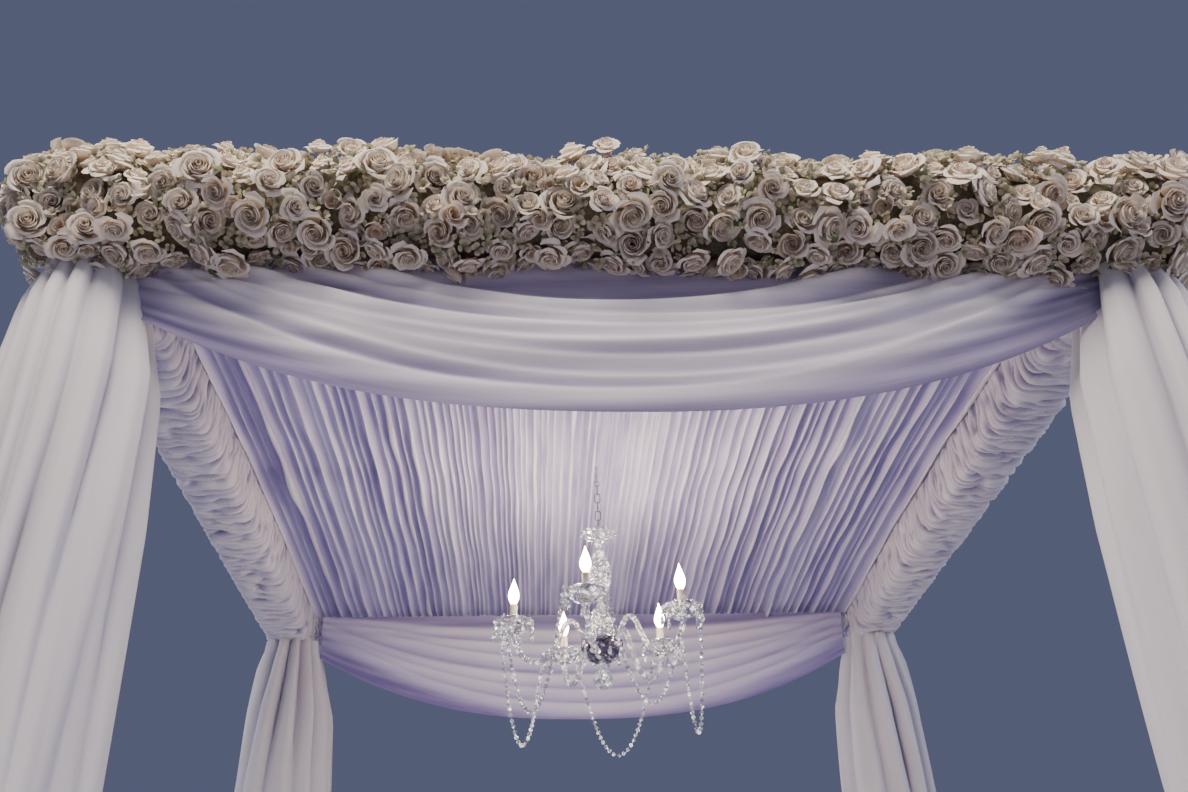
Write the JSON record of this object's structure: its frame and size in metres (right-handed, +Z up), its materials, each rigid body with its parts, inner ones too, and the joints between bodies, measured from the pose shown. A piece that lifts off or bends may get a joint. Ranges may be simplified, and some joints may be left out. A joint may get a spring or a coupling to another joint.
{
  "type": "wedding arch",
  "caption": "Square draped wedding canopy on posts, with a flower band along the front beam, a pleated cloth ceiling, cloth swags and a hanging crystal chandelier.",
  "frame": {"origin": "on the floor, under the middle of the canopy's box", "axes": "+Z up, -Y is the front with the flowers, +X is to the right seen from the front"},
  "size_m": [2.942, 2.942, 3.2102],
  "materials": {
    "painted_steel": "satin white paint",
    "voile": "sheer woven polyester voile",
    "roses": "soft matt petals",
    "chrome": "polished plate",
    "crystal": "cut and polished",
    "candle": "smooth",
    "bulb": "frosted, lit"
  },
  "bodies": {
    "canopy": {"base_plate_front_left": "painted_steel", "post_front_left": "painted_steel", "base_plate_front_right": "painted_steel", "post_front_right": "painted_steel", "base_plate_rear_left": "painted_steel", "post_rear_left": "painted_steel", "base_plate_rear_right": "painted_steel", "post_rear_right": "painted_steel", "beam_front": "painted_steel", "beam_rear": "painted_steel", "beam_left": "painted_steel", "beam_right": "painted_steel", "column_drape_front_left": "voile", "column_drape_front_right": "voile", "column_drape_rear_left": "voile", "column_drape_rear_right": "voile", "beam_sleeve_left": "voile", "beam_sleeve_right": "voile", "beam_sleeve_rear": "voile", "ceiling_cloth_left": "voile", "ceiling_cloth_right": "voile", "swag_front": "voile", "swag_rear": "voile", "flower_band_left": "roses", "flower_band_middle": "roses", "flower_band_right": "roses", "chandelier_bar": "painted_steel", "chandelier_hook": "chrome"},
    "chain": {"chandelier_chain": "chrome"},
    "chandelier": {"chandelier_stem": "crystal", "chandelier_top_dish": "crystal", "chandelier_bowl": "crystal", "chandelier_finial": "crystal", "chandelier_arm_1": "crystal", "drip_dish_1": "crystal", "candle_1": "candle", "bulb_1": "bulb", "bead_garland_1": "crystal", "chandelier_arm_2": "crystal", "drip_dish_2": "crystal", "candle_2": "candle", "bulb_2": "bulb", "bead_garland_2": "crystal", "chandelier_arm_3": "crystal", "drip_dish_3": "crystal", "candle_3": "candle", "bulb_3": "bulb", "bead_garland_3": "crystal", "chandelier_arm_4": "crystal", "drip_dish_4": "crystal", "candle_4": "candle", "bulb_4": "bulb", "bead_garland_4": "crystal", "chandelier_arm_5": "crystal", "drip_dish_5": "crystal", "candle_5": "candle", "bulb_5": "bulb", "bead_garland_5": "crystal"}
  },
  "joints": [
    {"name": "chain_swing", "type": "hinge", "parent": "canopy", "child": "chain", "pos_m": [0, 0, 3.016], "axis": [1, 0, 0], "range_deg": [-10, 10]},
    {"name": "chandelier_swing", "type": "hinge", "parent": "chain", "child": "chandelier", "pos_m": [0, 0, 2.858], "axis": [0, 1, 0], "range_deg": [-10, 10]}
  ]
}
